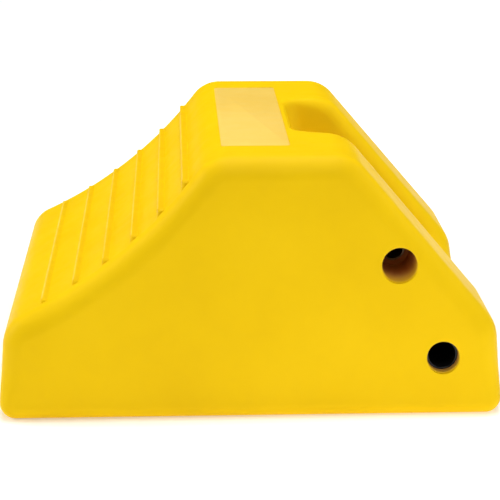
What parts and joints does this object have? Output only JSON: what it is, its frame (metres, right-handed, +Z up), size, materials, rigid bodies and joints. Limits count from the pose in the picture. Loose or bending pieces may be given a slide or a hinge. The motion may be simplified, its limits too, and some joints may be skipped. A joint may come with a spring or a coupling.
{
  "type": "wheel chock",
  "caption": "Large drafted urethane wheel chock with a ribbed concave contact face, a rear hand recess with a tube handle, and a cross tube for a tether.",
  "frame": {"origin": "centre of the base, on the surface the chock stands on", "axes": "+X from the toe, under the tyre, to the heel; +Z up; Y across the tyre's width"},
  "size_m": [0.505, 0.4454, 0.263],
  "materials": {
    "urethane_yellow": "satin moulded skin",
    "label_pale_yellow": "satin",
    "bare_steel": "drawn, slightly dull",
    "black_steel": "gloss"
  },
  "bodies": {
    "root": {"chock_body": "urethane_yellow", "blank_label": "label_pale_yellow", "handle_tube": "bare_steel", "handle_collar_near": "bare_steel", "handle_collar_far": "bare_steel", "tether_tube": "black_steel", "tether_collar_near": "black_steel", "tether_collar_far": "black_steel"}
  },
  "joints": []
}
